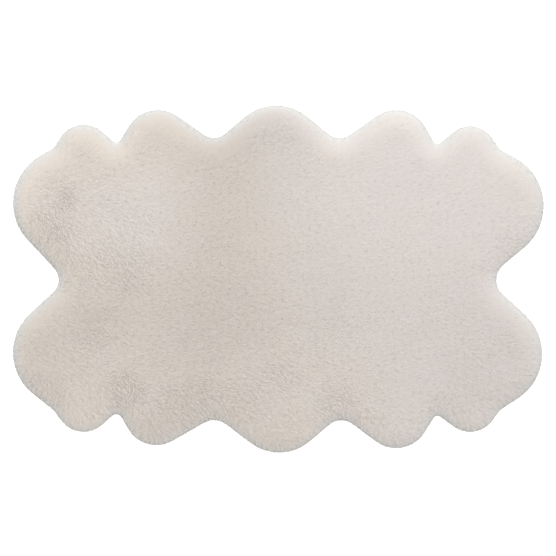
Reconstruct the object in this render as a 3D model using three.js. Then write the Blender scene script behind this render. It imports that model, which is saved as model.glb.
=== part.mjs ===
// Faux fur rug: one cut of deep-pile fur cloth with a scalloped, pelt-like outline, lying flat.
//
// Units are millimetres and +Z is up. X runs along the rug and Y across it. The origin is on the
// floor, under the middle of the rug. The solid reaches as far as the hair does: its top is the
// level of the combed pile, and its rim is where the hair tips droop to the floor.

import * as THREE from "three";

// Driving sizes.
const RUG_HEIGHT = 35; // backing cloth, plus the pile as it lies combed over
const RIM_DROP = 80; // how far in from the rim the pile reaches its full height
const WIDEST_HEIGHT = 10; // level at which the drooping hair reaches farthest out
const RIM_UNDERCUT = 10; // how far the hair tips tuck back in, down to the floor
const RIM_STEPS = 5; // facets of the rim's upper round
const UNDERCUT_STEPS = 2; // facets of the rim's lower round
const FACET_SAG = 0.6; // most that a facet of the outline may cut inside its arc
const FACET_TURN = THREE.MathUtils.degToRad(20); // most that the outline turns from facet to facet

const FUR_COLOUR = "#dcd3ca";
const FUR_ROUGHNESS = 0.95;

// The outline runs anticlockwise along these arcs, joined by straight tangents. It starts at the
// waist on the right. A lobe bulges out of the rug and a notch draws in between two lobes.
const LOBE = 1;
const NOTCH = -1;
const ARCS = [
  { bend: NOTCH, x: 805, y: 0, radius: 65 },
  { bend: LOBE, x: 715, y: 250, radius: 185 },
  { bend: NOTCH, x: 780, y: 470, radius: 40 },
  { bend: LOBE, x: 650, y: 430, radius: 90 },
  { bend: NOTCH, x: 540, y: 475, radius: 15 },
  { bend: LOBE, x: 400, y: 460, radius: 115 },
  { bend: NOTCH, x: 210, y: 540, radius: 60 },
  { bend: LOBE, x: -5, y: 425, radius: 165 },
  { bend: NOTCH, x: -215, y: 535, radius: 55 },
  { bend: LOBE, x: -405, y: 460, radius: 115 },
  { bend: NOTCH, x: -545, y: 480, radius: 15 },
  { bend: LOBE, x: -655, y: 430, radius: 95 },
  { bend: NOTCH, x: -785, y: 475, radius: 40 },
  { bend: LOBE, x: -710, y: 260, radius: 185 },
  { bend: NOTCH, x: -795, y: 0, radius: 55 },
  { bend: LOBE, x: -715, y: -245, radius: 180 },
  { bend: NOTCH, x: -785, y: -470, radius: 40 },
  { bend: LOBE, x: -655, y: -420, radius: 95 },
  { bend: NOTCH, x: -545, y: -475, radius: 20 },
  { bend: LOBE, x: -410, y: -450, radius: 110 },
  { bend: NOTCH, x: -215, y: -540, radius: 65 },
  { bend: LOBE, x: 5, y: -425, radius: 160 },
  { bend: NOTCH, x: 215, y: -535, radius: 60 },
  { bend: LOBE, x: 400, y: -455, radius: 115 },
  { bend: NOTCH, x: 540, y: -475, radius: 15 },
  { bend: LOBE, x: 650, y: -420, radius: 95 },
  { bend: NOTCH, x: 780, y: -470, radius: 40 },
  { bend: LOBE, x: 715, y: -250, radius: 180 },
];

// The heading of the straight that leaves one arc and meets the next without a corner.
function tangentHeading(from, to) {
  const run = new THREE.Vector2(to.x - from.x, to.y - from.y);
  const offset = to.bend * to.radius - from.bend * from.radius;
  if (Math.abs(offset) > run.length()) {
    throw new RangeError(`the arcs at ${from.x}, ${from.y} and ${to.x}, ${to.y} overlap`);
  }
  return Math.atan2(run.y, run.x) - Math.asin(offset / run.length());
}

// How far an arc turns from one heading to the next: to the left on a lobe, right on a notch.
function turnOf(arc, headingIn, headingOut) {
  const turn = THREE.MathUtils.euclideanModulo(headingOut - headingIn, 2 * Math.PI);
  return arc.bend === LOBE ? turn : turn - 2 * Math.PI;
}

// The headings along an arc, close enough together for its facets to follow it.
function headingsOn(arc, headingIn, headingOut) {
  const turn = turnOf(arc, headingIn, headingOut);
  const facetTurn = Math.min(FACET_TURN, 2 * Math.acos(1 - FACET_SAG / arc.radius));
  const facets = Math.ceil(Math.abs(turn) / facetTurn);
  return Array.from({ length: facets + 1 }, (_, i) => headingIn + (turn * i) / facets);
}

// Every point of the outline, as the arc that it lies on and the heading there. An inset changes
// the arcs' radii and leaves the headings alone, so all rings have matching points.
const STATIONS = ARCS.flatMap((arc, i) => {
  const before = ARCS.at(i - 1);
  const after = ARCS[(i + 1) % ARCS.length];
  const headings = headingsOn(arc, tangentHeading(before, arc), tangentHeading(arc, after));
  return headings.map((heading) => ({ arc, heading }));
});

// The outline drawn in by an inset, at a height.
function outlineRing({ inset, height }) {
  return STATIONS.map(({ arc, heading }) => {
    const reach = arc.bend * arc.radius - inset;
    return new THREE.Vector3(
      arc.x + reach * Math.sin(heading),
      arc.y - reach * Math.cos(heading),
      height,
    );
  });
}

// The rim's section, from the floor up to the crown: a small round under the widest level and a
// long one over it.
function rimSection() {
  const lower = Array.from({ length: UNDERCUT_STEPS }, (_, i) => {
    const angle = (Math.PI / 2) * (i / UNDERCUT_STEPS);
    return {
      inset: RIM_UNDERCUT * (1 - Math.sin(angle)),
      height: WIDEST_HEIGHT * (1 - Math.cos(angle)),
    };
  });
  const upper = Array.from({ length: RIM_STEPS + 1 }, (_, i) => {
    const angle = (Math.PI / 2) * (i / RIM_STEPS);
    return {
      inset: RIM_DROP * (1 - Math.cos(angle)),
      height: WIDEST_HEIGHT + (RUG_HEIGHT - WIDEST_HEIGHT) * Math.sin(angle),
    };
  });
  return [...lower, ...upper];
}

// The closed solid: rings up the rim, a flat underside and a flat crown.
function pileGeometry() {
  const rings = rimSection().map(outlineRing);
  const count = STATIONS.length;
  const faces = [];

  for (let level = 0; level < rings.length - 1; level++) {
    for (let i = 0; i < count; i++) {
      const lowHere = level * count + i;
      const lowNext = level * count + ((i + 1) % count);
      faces.push([lowHere, lowNext, lowNext + count], [lowHere, lowNext + count, lowHere + count]);
    }
  }

  const top = (rings.length - 1) * count;
  for (const [a, b, c] of THREE.ShapeUtils.triangulateShape(rings[0], [])) {
    faces.push([c, b, a]);
  }
  for (const [a, b, c] of THREE.ShapeUtils.triangulateShape(rings.at(-1), [])) {
    faces.push([top + a, top + b, top + c]);
  }

  const geometry = new THREE.BufferGeometry().setFromPoints(rings.flat());
  geometry.setIndex(faces.flat());
  geometry.computeVertexNormals();
  return geometry;
}

// The fur cloth, moved so that the origin is under the middle of its box.
function furRug() {
  const geometry = pileGeometry();
  geometry.computeBoundingBox();
  const middle = geometry.boundingBox.getCenter(new THREE.Vector3());
  const material = new THREE.MeshStandardMaterial({
    color: FUR_COLOUR,
    roughness: FUR_ROUGHNESS,
    metalness: 0,
  });
  const rug = new THREE.Mesh(geometry, material);
  rug.name = "fur_rug";
  rug.position.set(-middle.x, -middle.y, 0);
  return rug;
}

const rugGroup = new THREE.Group();
rugGroup.name = "faux_fur_rug";
rugGroup.add(furRug());

export default rugGroup;
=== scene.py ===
"""Looks of a pelt-shaped faux fur rug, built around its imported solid.

The rug is one cut of deep-pile fur cloth. A knitted backing lies on the floor, a dense bed of
under-fur stands on it, and tapered locks of guard hair are combed over the bed, out past its rim
and down to the floor. All lengths are metres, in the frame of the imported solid.
"""

from __future__ import annotations

import logging
import math
from dataclasses import dataclass
from enum import Enum

import bmesh
import bpy
import numpy as np
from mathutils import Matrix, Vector

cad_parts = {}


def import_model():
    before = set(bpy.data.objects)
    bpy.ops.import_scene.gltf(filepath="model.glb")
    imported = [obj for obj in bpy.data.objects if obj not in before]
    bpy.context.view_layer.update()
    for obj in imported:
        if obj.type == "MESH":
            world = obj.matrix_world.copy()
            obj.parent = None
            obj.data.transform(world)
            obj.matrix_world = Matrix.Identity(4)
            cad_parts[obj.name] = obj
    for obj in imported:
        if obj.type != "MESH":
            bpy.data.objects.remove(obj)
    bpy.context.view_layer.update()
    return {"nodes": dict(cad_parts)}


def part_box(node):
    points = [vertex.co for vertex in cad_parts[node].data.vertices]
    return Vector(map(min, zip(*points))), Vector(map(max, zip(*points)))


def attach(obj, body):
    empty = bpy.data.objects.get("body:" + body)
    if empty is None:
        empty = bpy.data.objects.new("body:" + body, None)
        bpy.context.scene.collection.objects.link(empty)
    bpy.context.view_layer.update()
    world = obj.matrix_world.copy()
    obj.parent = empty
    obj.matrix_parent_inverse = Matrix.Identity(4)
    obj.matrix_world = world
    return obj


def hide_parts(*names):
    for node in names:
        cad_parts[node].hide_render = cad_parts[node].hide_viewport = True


LOG = logging.getLogger("fur_rug")

NODE = "fur_rug"
BODY = "root"
BAKE_MAP = "OFBake"
MM = 0.001
# Points of the solid that lie nearer to each other than this are one point.
WELD = 0.01 * MM
# How far apart the rows of a staggered grid lie, as a share of its spacing.
ROW_STEP = math.sqrt(3) / 2


# ---------------------------------------------------------------------------------------------
# Small helpers
# ---------------------------------------------------------------------------------------------


def linear(hex_colour: str) -> tuple[float, float, float, float]:
    """Turns an sRGB hex colour into linear light.

    Args:
        hex_colour: Six hex digits, such as "d9cfc6".

    Returns:
        Red, green, blue and an alpha of 1, each from 0 to 1.
    """
    levels = [int(hex_colour[i : i + 2], 16) / 255 for i in (0, 2, 4)]
    red, green, blue = (
        level / 12.92 if level <= 0.04045 else ((level + 0.055) / 1.055) ** 2.4
        for level in levels
    )
    return red, green, blue, 1.0


def add_node(
    tree: bpy.types.NodeTree,
    kind: str,
    settings: dict[str, object] | None = None,
    **inputs: object,
) -> bpy.types.Node:
    """Adds a node to a tree, with its settings, input values and links.

    Args:
        tree: The node tree that gets the node.
        kind: The node's type, such as "ShaderNodeMix".
        settings: Properties of the node itself.
        **inputs: Input names, with "_" for a space, or in_N for input number N. An output
            socket is linked and any other value is set.

    Returns:
        The new node.
    """
    node = tree.nodes.new(kind)
    for name, value in (settings or {}).items():
        setattr(node, name, value)
    for name, value in inputs.items():
        key = int(name[3:]) if name.startswith("in_") else name.replace("_", " ")
        if isinstance(value, bpy.types.NodeSocket):
            tree.links.new(value, node.inputs[key])
        else:
            node.inputs[key].default_value = value
    return node


def new_material(name: str, **inputs: object) -> tuple[bpy.types.Material, bpy.types.Node]:
    """Makes a node material and sets its shader's inputs.

    Args:
        name: The material's name.
        **inputs: Names of the shader's inputs, with "_" for a space, and their values.

    Returns:
        The material and its shader.
    """
    material = bpy.data.materials.new(name)
    material.use_nodes = True
    shader = material.node_tree.nodes["Principled BSDF"]
    for key, value in inputs.items():
        shader.inputs[key.replace("_", " ")].default_value = value
    return material, shader


def share_of(tree: bpy.types.NodeTree, name: str) -> bpy.types.NodeSocket:
    """Adds the reading of a mesh's attribute to a material."""
    return add_node(tree, "ShaderNodeAttribute", {"attribute_name": name}).outputs["Fac"]


def mixed(
    tree: bpy.types.NodeTree, share: bpy.types.NodeSocket, low: object, high: object
) -> bpy.types.NodeSocket:
    """Adds a colour that goes from one to another.

    Args:
        tree: The material's nodes.
        share: How far it goes, from 0 to 1.
        low: The colour at 0, as a value or an output socket.
        high: The colour at 1.

    Returns:
        The colour.
    """
    settings = {"data_type": "RGBA"}
    return add_node(
        tree, "ShaderNodeMix", settings, in_0=share, in_6=low, in_7=high
    ).outputs[2]


def scaled(
    tree: bpy.types.NodeTree, colour: bpy.types.NodeSocket, share: bpy.types.NodeSocket
) -> bpy.types.NodeSocket:
    """Adds a colour made brighter or duskier by a share."""
    settings = {"operation": "SCALE"}
    return add_node(tree, "ShaderNodeVectorMath", settings, in_0=colour, Scale=share).outputs[0]


def paint(
    shader: bpy.types.Node,
    colour: bpy.types.NodeSocket,
    height: bpy.types.NodeSocket | None = None,
    relief: float = 0.0,
) -> None:
    """Links a colour to a shader, and a bump where there is one.

    Args:
        shader: The material's shader.
        colour: The colour.
        height: Height of the bump, from 0 to 1, or None for no bump.
        relief: How high the bump stands.
    """
    tree = shader.id_data
    tree.links.new(colour, shader.inputs["Base Color"])
    if height is not None:
        bump = add_node(tree, "ShaderNodeBump", Height=height, Strength=0.5, Distance=relief)
        tree.links.new(bump.outputs["Normal"], shader.inputs["Normal"])


def set_shares(mesh: bpy.types.Mesh, name: str, values: np.ndarray) -> None:
    """Gives a mesh an attribute of one number for each point.

    Args:
        mesh: The mesh.
        name: The attribute's name.
        values: The numbers, in the order of the mesh's points.
    """
    attribute = mesh.attributes.new(name, "FLOAT", "POINT")
    attribute.data.foreach_set("value", values.astype(np.float32).ravel())


def smoothstep(value: np.ndarray, low: float, high: float) -> np.ndarray:
    """Eases from 0 to 1 as a value goes from low to high.

    Args:
        value: The values to ease.
        low: Where the result leaves 0.
        high: Where the result reaches 1.

    Returns:
        Numbers from 0 to 1.
    """
    share = np.clip((value - low) / (high - low), 0, 1)
    return share * share * (3 - 2 * share)


def unit(vectors: np.ndarray) -> np.ndarray:
    """Scales vectors, along the last axis, to length 1."""
    return vectors / np.maximum(np.linalg.norm(vectors, axis=-1, keepdims=True), 1e-9)


@dataclass(frozen=True)
class Ripple:
    """Smooth, seeded unevenness over the rug, as a sum of plane waves.

    Attributes:
        wavelength: Typical length of a wave.
        seed: Seed of the waves' bearings and phases.
        waves: How many waves are summed.
    """

    wavelength: float
    seed: int
    waves: int = 14

    def at(self, places: np.ndarray) -> np.ndarray:
        """Reads the unevenness.

        Args:
            places: Places on the rug, as rows of x and y.

        Returns:
            One number for each place, about 0 with a spread of about 1.
        """
        rng = np.random.default_rng(self.seed)
        bearing = rng.uniform(0, 2 * math.pi, self.waves)
        length = self.wavelength * rng.uniform(0.7, 1.5, self.waves)
        phase = rng.uniform(0, 2 * math.pi, self.waves)
        wave = 2 * math.pi / length * np.stack([np.cos(bearing), np.sin(bearing)])
        return np.sin(places @ wave + phase).sum(-1) * math.sqrt(2 / self.waves)


# ---------------------------------------------------------------------------------------------
# Finishes
# ---------------------------------------------------------------------------------------------


@dataclass(frozen=True)
class FurDye:
    """The warm off-white that the acrylic is dyed, shared by the guard hair and the under-fur.

    One end of the cloth came out a little warmer than the other, with faint clouds of both tones.
    Over the dye lie a greyer painted rim tone, standing for light through the fine outermost tips
    and shade under the rim, and painted bands and patches of light and shade that make the pile
    lighter or duskier.

    Attributes:
        cool: Tone of the cooler end.
        warm: Tone of the warmer end.
        painted_rim: Painted rim tone, greyer than the dye, standing for light through the fine tips
            and shade under the rim.
        cloud: Width of a cloud of tone.
        clouding: How strongly the clouds show, as a share of the step from cool to warm.
    """

    cool: str = "e1dad6"
    warm: str = "e3d9cf"
    painted_rim: str = "dfddd9"
    cloud: float = 120 * MM
    clouding: float = 0.9

    def colour(self, tree: bpy.types.NodeTree, place: bpy.types.NodeSocket) -> bpy.types.NodeSocket:
        """Adds the dye to a material.

        Args:
            tree: The material's nodes.
            place: The Object coordinates.

        Returns:
            The dyed colour, with the painted rim tone and the painted light and shade laid on. It
            reads the attributes hair_warm, hair_painted_rim and hair_painted_light.
        """
        hue = mixed(tree, self._warmth(tree, place), linear(self.cool), linear(self.warm))
        # The painted rim tone, then the painted light and shade.
        painted_rim_tinted = mixed(tree, share_of(tree, "hair_painted_rim"), hue, linear(self.painted_rim))
        return scaled(tree, painted_rim_tinted, share_of(tree, "hair_painted_light"))

    def _warmth(
        self, tree: bpy.types.NodeTree, place: bpy.types.NodeSocket
    ) -> bpy.types.NodeSocket:
        """Adds the share of the warmer tone: the cloth's own, and its clouds.

        Args:
            tree: The material's nodes.
            place: The Object coordinates.

        Returns:
            The share, from 0 to 1.
        """
        noise = add_node(tree, "ShaderNodeTexNoise", Vector=place, Scale=1 / self.cloud, Detail=2.0)
        clouds = add_node(
            tree,
            "ShaderNodeMapRange",
            Value=noise.outputs["Fac"],
            To_Min=-self.clouding / 2,
            To_Max=self.clouding / 2,
        )
        warmth = add_node(
            tree,
            "ShaderNodeMath",
            {"operation": "ADD", "use_clamp": True},
            in_0=share_of(tree, "hair_warm"),
            in_1=clouds.outputs["Result"],
        )
        return warmth.outputs[0]


@dataclass(frozen=True)
class FurFinish:
    """Acrylic fur pile: matt, soft fibres in a warm off-white.

    Each lock is a shade apart from its neighbours, partly at random and partly as painted shade and
    highlight, and its root is darkened with painted shade, standing for the shade deep in the pile.
    Both show most where the hair is ruffled. The dusky shades are painted warmer, standing for
    light that goes from hair to hair.

    Attributes:
        name: The material's name.
        dye: The fibre's colour.
        painted_root_shade: How bright a root is left by the painted root shade, as a share of the
            tip.
        root_reach: How far along the hair that painted shade reaches, as a share of the hair.
        dusky: The duskiest lock's share of the dye, in red, green and blue, painted warmer for
            light bounced between the hairs.
        pale: The palest lock's share.
    """

    name: str = "acrylic_fur_pile"
    dye: FurDye = FurDye()
    painted_root_shade: float = 0.92
    root_reach: float = 0.75
    dusky: tuple[float, float, float, float] = (0.853, 0.838, 0.830, 1.0)
    pale: tuple[float, float, float, float] = (1.140, 1.162, 1.180, 1.0)

    def make(self) -> bpy.types.Material:
        """Builds the node material.

        Returns:
            A material that reads the attributes hair_run and hair_tone, and the dye's.
        """
        material, shader = new_material(
            self.name,
            Roughness=0.85,
            Specular_IOR_Level=0.2,
            Sheen_Weight=0.25,
            Sheen_Roughness=0.5,
        )
        tree = material.node_tree
        place = add_node(tree, "ShaderNodeTexCoord").outputs["Object"]
        # Painted shade at the root, fading along the hair.
        shade = add_node(
            tree,
            "ShaderNodeMapRange",
            {"interpolation_type": "SMOOTHSTEP"},
            Value=share_of(tree, "hair_run"),
            From_Max=self.root_reach,
            To_Min=self.painted_root_shade,
            To_Max=1.0,
        )
        toned = add_node(
            tree,
            "ShaderNodeVectorMath",
            {"operation": "MULTIPLY"},
            in_0=self.dye.colour(tree, place),
            in_1=mixed(tree, share_of(tree, "hair_tone"), self.dusky, self.pale),
        )
        paint(shader, scaled(tree, toned.outputs[0], shade.outputs["Result"]))
        return material


@dataclass(frozen=True)
class UnderfurFinish:
    """The dense fluff between the guard hairs: the same acrylic, with painted shade in the hollows
    of its curls and painted light on their crests.

    Attributes:
        name: The material's name.
        dye: The fibre's colour.
        crest: How bright the painted light makes the fluff's crests, as a share of the dye.
        painted_hollow_shade: How much the painted shade darkens its hollows where it is ruffled.
        curl: Size of a curl of fluff.
        relief: How high the curls stand in the bump.
    """

    name: str = "acrylic_underfur"
    dye: FurDye = FurDye()
    crest: float = 1.03
    painted_hollow_shade: float = 0.12
    curl: float = 6 * MM
    relief: float = 1 * MM

    def make(self) -> bpy.types.Material:
        """Builds the node material, a fine uneven fluff in bump, with painted light and shade
        following it in colour.

        Returns:
            A material that reads the attribute fluff_ruffle, and the dye's.
        """
        material, shader = new_material(self.name, Roughness=0.95, Specular_IOR_Level=0.1)
        tree = material.node_tree
        place = add_node(tree, "ShaderNodeTexCoord").outputs["Object"]
        fluff = add_node(
            tree, "ShaderNodeTexNoise", Vector=place, Scale=1 / self.curl, Detail=3.0, Roughness=0.6
        )
        # Painted shade in the hollows, deeper where the fluff is ruffled.
        painted_hollow_shade = add_node(
            tree,
            "ShaderNodeMath",
            {"operation": "MULTIPLY_ADD"},
            in_0=share_of(tree, "fluff_ruffle"),
            in_1=-self.painted_hollow_shade,
            in_2=self.crest,
        )
        # Painted light on the curls' crests and painted shade in their hollows.
        shade = add_node(
            tree,
            "ShaderNodeMapRange",
            Value=fluff.outputs["Fac"],
            From_Min=0.3,
            From_Max=0.7,
            To_Min=painted_hollow_shade.outputs[0],
            To_Max=self.crest,
        )
        toned = scaled(tree, self.dye.colour(tree, place), shade.outputs["Result"])
        paint(shader, toned, fluff.outputs["Fac"], self.relief)
        return material


@dataclass(frozen=True)
class KnitFinish:
    """Warp-knitted polyester backing: rows of small stitches in plain beige.

    The real stitches are about 1.5 mm apart, and they are drawn 4 mm apart, so that they show.

    Attributes:
        name: The material's name.
        yarn: Colour of the stitches.
        gap: Colour between the stitches.
        stitch: Spacing of the stitches along both ways.
        relief: How high the stitches stand in the bump.
    """

    name: str = "knitted_polyester_backing"
    yarn: str = "cfc4b4"
    gap: str = "a89c8b"
    stitch: float = 4 * MM
    relief: float = 0.5 * MM

    def make(self) -> bpy.types.Material:
        """Builds the node material, with crossed waves for wales and courses.

        Returns:
            The material.
        """
        material, shader = new_material(self.name, Roughness=0.9, Specular_IOR_Level=0.2)
        tree = material.node_tree
        place = add_node(tree, "ShaderNodeTexCoord").outputs["Object"]
        # A wave texture turns by 20 radians for each unit of its scale.
        scale = 2 * math.pi / (20 * self.stitch)
        rows = [
            add_node(
                tree,
                "ShaderNodeTexWave",
                {"bands_direction": direction},
                Vector=place,
                Scale=scale,
                Distortion=0.6,
            )
            for direction in ("X", "Y")
        ]
        stitches = add_node(
            tree,
            "ShaderNodeMath",
            {"operation": "MULTIPLY"},
            in_0=rows[0].outputs["Fac"],
            in_1=rows[1].outputs["Fac"],
        ).outputs[0]
        colour = mixed(tree, stitches, linear(self.gap), linear(self.yarn))
        paint(shader, colour, stitches, self.relief)
        return material


@dataclass(frozen=True)
class FloorFinish:
    """A studio floor of matt white board, lit from beneath as a light table is.

    Attributes:
        name: The material's name.
        colour: Colour of the board.
        glow: Light that comes up through the board, so that no shadow greys it.
    """

    name: str = "matt_white_board"
    colour: str = "fbfbfa"
    glow: float = 0.8

    def make(self) -> bpy.types.Material:
        """Builds the plain material.

        Returns:
            The material.
        """
        material, _ = new_material(
            self.name,
            Base_Color=linear(self.colour),
            Roughness=1.0,
            Specular_IOR_Level=0.0,
            Emission_Color=linear(self.colour),
            Emission_Strength=self.glow,
        )
        return material


# ---------------------------------------------------------------------------------------------
# The rug's shape
# ---------------------------------------------------------------------------------------------


class RugOutline:
    """The outline of the pile's reach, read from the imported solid.

    Attributes:
        rim: The outline's points in order, as rows of x and y.
        area: The outline's area.
    """

    CELL = 5 * MM
    MARGIN = 60 * MM
    BLUR = 20 * MM
    # How many steps of half the blur are averaged, either side.
    BLUR_STEPS = 3
    # Anything smaller than this counts as nothing.
    TINY = 1e-12
    # A place is read at least this many cells in from the far edge of a grid.
    LAST_CELL = 1.001

    def __init__(self, solid: bpy.types.Object, level: float) -> None:
        """Cuts the solid at a level and maps the depth inside the cut.

        Args:
            solid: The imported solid, which is left as it is.
            level: Height of the cut.
        """
        self.rim = self._cut(solid, level)
        after = np.roll(self.rim, -1, axis=0)
        self.area = abs(float(np.cross(self.rim, after).sum())) / 2
        self._low = self.rim.min(0) - self.MARGIN
        steps = np.ceil((self.rim.max(0) + self.MARGIN - self._low) / self.CELL).astype(int)
        across = self._low[0] + self.CELL * np.arange(steps[0] + 1)
        along = self._low[1] + self.CELL * np.arange(steps[1] + 1)
        rows = [np.stack([across, np.full_like(across, y)], 1) for y in along]
        self._depth = np.stack([self._depth_of(row) for row in rows])
        slope_y, slope_x = np.gradient(self._depth, self.CELL)
        self._slope = np.stack([slope_x, slope_y], -1)
        self._broad = self._blurred(self._slope, self.BLUR)

    @classmethod
    def _blurred(cls, grid: np.ndarray, reach: float) -> np.ndarray:
        """Blurs a grid along both ways.

        Args:
            grid: The grid, with its rows along Y.
            reach: How far the blur reaches.

        Returns:
            The blurred grid.
        """
        steps = np.arange(-cls.BLUR_STEPS, cls.BLUR_STEPS + 1) * reach / 2
        weights = np.exp(-((steps / reach) ** 2))
        for axis in (0, 1):
            shifted = [np.roll(grid, round(step / cls.CELL), axis) for step in steps]
            grid = np.tensordot(weights / weights.sum(), np.array(shifted), 1)
        return grid

    @staticmethod
    def _cut(solid: bpy.types.Object, level: float) -> np.ndarray:
        """Cuts through the solid at a level.

        Args:
            solid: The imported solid, which is left as it is.
            level: Height of the cut.

        Returns:
            The points round the cut, in order.
        """
        mesh = bmesh.new()
        mesh.from_mesh(solid.data)
        bmesh.ops.remove_doubles(mesh, verts=mesh.verts, dist=WELD)
        found = bmesh.ops.bisect_plane(
            mesh,
            geom=[*mesh.verts, *mesh.edges, *mesh.faces],
            plane_co=(0, 0, level),
            plane_no=(0, 0, 1),
        )
        edges = {e for e in found["geom_cut"] if isinstance(e, bmesh.types.BMEdge)}
        edge = min(edges, key=lambda e: e.index)
        start = corner = edge.verts[0]
        places = []
        while True:
            places.append((corner.co.x, corner.co.y))
            corner = edge.other_vert(corner)
            if corner is start:
                break
            edge = next(e for e in corner.link_edges if e in edges and e is not edge)
        mesh.free()
        return np.array(places)

    def _depth_of(self, places: np.ndarray) -> np.ndarray:
        """Measures how far in from the outline places lie.

        Args:
            places: Places, as rows of x and y.

        Returns:
            Each place's distance from the outline, negative outside it.
        """
        start = self.rim
        run = np.roll(start, -1, axis=0) - start
        gap = places[:, None] - start[None]
        share = np.clip((gap * run).sum(-1) / np.maximum((run * run).sum(-1), self.TINY), 0, 1)
        near = np.linalg.norm(gap - share[..., None] * run, axis=-1).min(1)
        below = start[:, 1] <= places[:, 1:2]
        crosses = below != np.roll(below, -1, axis=1)
        climb = np.where(np.abs(run[:, 1]) < self.TINY, self.TINY, run[:, 1])
        meets = start[:, 0] + gap[..., 1] / climb * run[:, 0]
        inside = (crosses & (meets > places[:, :1])).sum(1) % 2 == 1
        return np.where(inside, near, -near)

    def _read(self, grid: np.ndarray, places: np.ndarray) -> np.ndarray:
        """Reads a grid between its points.

        Args:
            grid: The grid, with its rows along Y.
            places: Flat places, as x and y along the last axis.

        Returns:
            The grid's value at each place.
        """
        at = (places - self._low) / self.CELL
        rows, columns = grid.shape[:2]
        column = np.clip(at[..., 0], 0, columns - self.LAST_CELL)
        row = np.clip(at[..., 1], 0, rows - self.LAST_CELL)
        c, r = column.astype(int), row.astype(int)
        right, up = column - c, row - r
        if grid.ndim == 3:
            right, up = right[..., None], up[..., None]
        low = grid[r, c] * (1 - right) + grid[r, c + 1] * right
        high = grid[r + 1, c] * (1 - right) + grid[r + 1, c + 1] * right
        return low * (1 - up) + high * up

    def depth(self, places: np.ndarray) -> np.ndarray:
        """Distance in from the outline at each place, negative outside it."""
        return self._read(self._depth, places)

    def inward(self, places: np.ndarray) -> np.ndarray:
        """Unit direction in from the nearest part of the outline at each place."""
        return unit(self._read(self._slope, places))

    def spread(self, places: np.ndarray) -> np.ndarray:
        """Average direction in from the outline nearby, shorter than 1 where it turns."""
        return self._read(self._broad, places)

    def facing(self, places: np.ndarray, side: tuple[float, float]) -> np.ndarray:
        """How much the nearest stretch of the outline faces a side.

        Args:
            places: Flat places, as x and y along the last axis.
            side: The side, as x and y.

        Returns:
            Numbers from 0 to 1.
        """
        return np.clip(-self.spread(places) @ np.array(side), 0, 1)

    def inset(self, distance: float) -> list[tuple[float, float]]:
        """The outline drawn in by a distance.

        Args:
            distance: How far it is drawn in.

        Returns:
            Points in order.
        """
        drawn = self.rim + self.inward(self.rim) * distance
        return [(float(x), float(y)) for x, y in drawn]


@dataclass(frozen=True)
class RimSection:
    """The rounded rim of the pile, as it falls from the crown to the floor.

    Attributes:
        crown: Height of the combed pile.
        run: How far in from the outline the pile reaches its full height.
        widest: Height at which the hair reaches farthest out.
        tuck: How far the hair tucks back in under the widest level.
        allowance: Room that is left inside the outline, less than 0 as the tips are fine.
        steps: How many points each of the section's two rounds is worked out at.
    """

    crown: float
    run: float
    widest: float
    tuck: float
    allowance: float = -0.6 * MM
    steps: int = 40

    def table(self) -> tuple[np.ndarray, np.ndarray, np.ndarray]:
        """Works the section out.

        Returns:
            Distance along the section, inset and height of points from the floor up to the
            crown.
        """
        turn = np.linspace(0, math.pi / 2, self.steps)
        lower_inset = self.allowance + self.tuck * (1 - np.sin(turn))
        lower_height = self.widest * (1 - np.cos(turn))
        upper_inset = self.allowance + (self.run - self.allowance) * (1 - np.cos(turn))
        upper_height = self.widest + (self.crown - self.widest) * np.sin(turn)
        inset = np.concatenate([lower_inset, upper_inset[1:]])
        height = np.concatenate([lower_height, upper_height[1:]])
        arc = np.concatenate([[0], np.cumsum(np.hypot(np.diff(inset), np.diff(height)))])
        return arc, inset, height


@dataclass(frozen=True)
class PaintedShadeBand:
    """A wide band of painted shade over the pile, duskiest in its middle.

    Attributes:
        way: The way across the band, of a length near 1.
        place: How far along that way the middle of the band lies.
        reach: How far either side of that it is seen.
        shade: How bright the painted shade leaves the pile in its middle, as a share.
    """

    way: tuple[float, float]
    place: float
    reach: float
    shade: float

    def share(self, places: np.ndarray) -> np.ndarray:
        """How bright the band leaves each place, as a share."""
        off = np.abs(places @ np.array(self.way) - self.place)
        return self.shade + (1 - self.shade) * smoothstep(off, 0, self.reach)


@dataclass(frozen=True)
class Patch:
    """A round patch of the rug that fades out all round.

    Attributes:
        x: Middle of the patch along the rug.
        y: Middle of the patch across the rug.
        reach: How far the patch is seen.
    """

    x: float
    y: float
    reach: float

    def seen(self, places: np.ndarray) -> np.ndarray:
        """How strongly the patch is seen at each place, 1 in its middle."""
        gap = np.linalg.norm(places - (self.x, self.y), axis=-1) / self.reach
        return np.exp(-np.square(gap))


@dataclass(frozen=True)
class PaintedLightAndShadePatch(Patch):
    """A patch of painted light where its shade is over 1, and of painted shade where it is under 1.

    Attributes:
        shade: How bright the patch paints the pile in its middle, as a share.
    """

    shade: float

    def share(self, places: np.ndarray) -> np.ndarray:
        """How bright the patch leaves each place, as a share."""
        return 1 + (self.shade - 1) * self.seen(places)


@dataclass(frozen=True)
class DyePatch(Patch):
    """A patch of cloth that took the dye a little warmer or cooler.

    Attributes:
        warmth: Share of the warmer tone that it draws to.
        hold: How far it draws there in its middle, from 0 to 1.
    """

    warmth: float
    hold: float

    def drawn(self, places: np.ndarray, warmth: np.ndarray) -> np.ndarray:
        """Draws the warmth of the cloth around it to its own."""
        return warmth + (self.warmth - warmth) * self.hold * self.seen(places)


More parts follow.
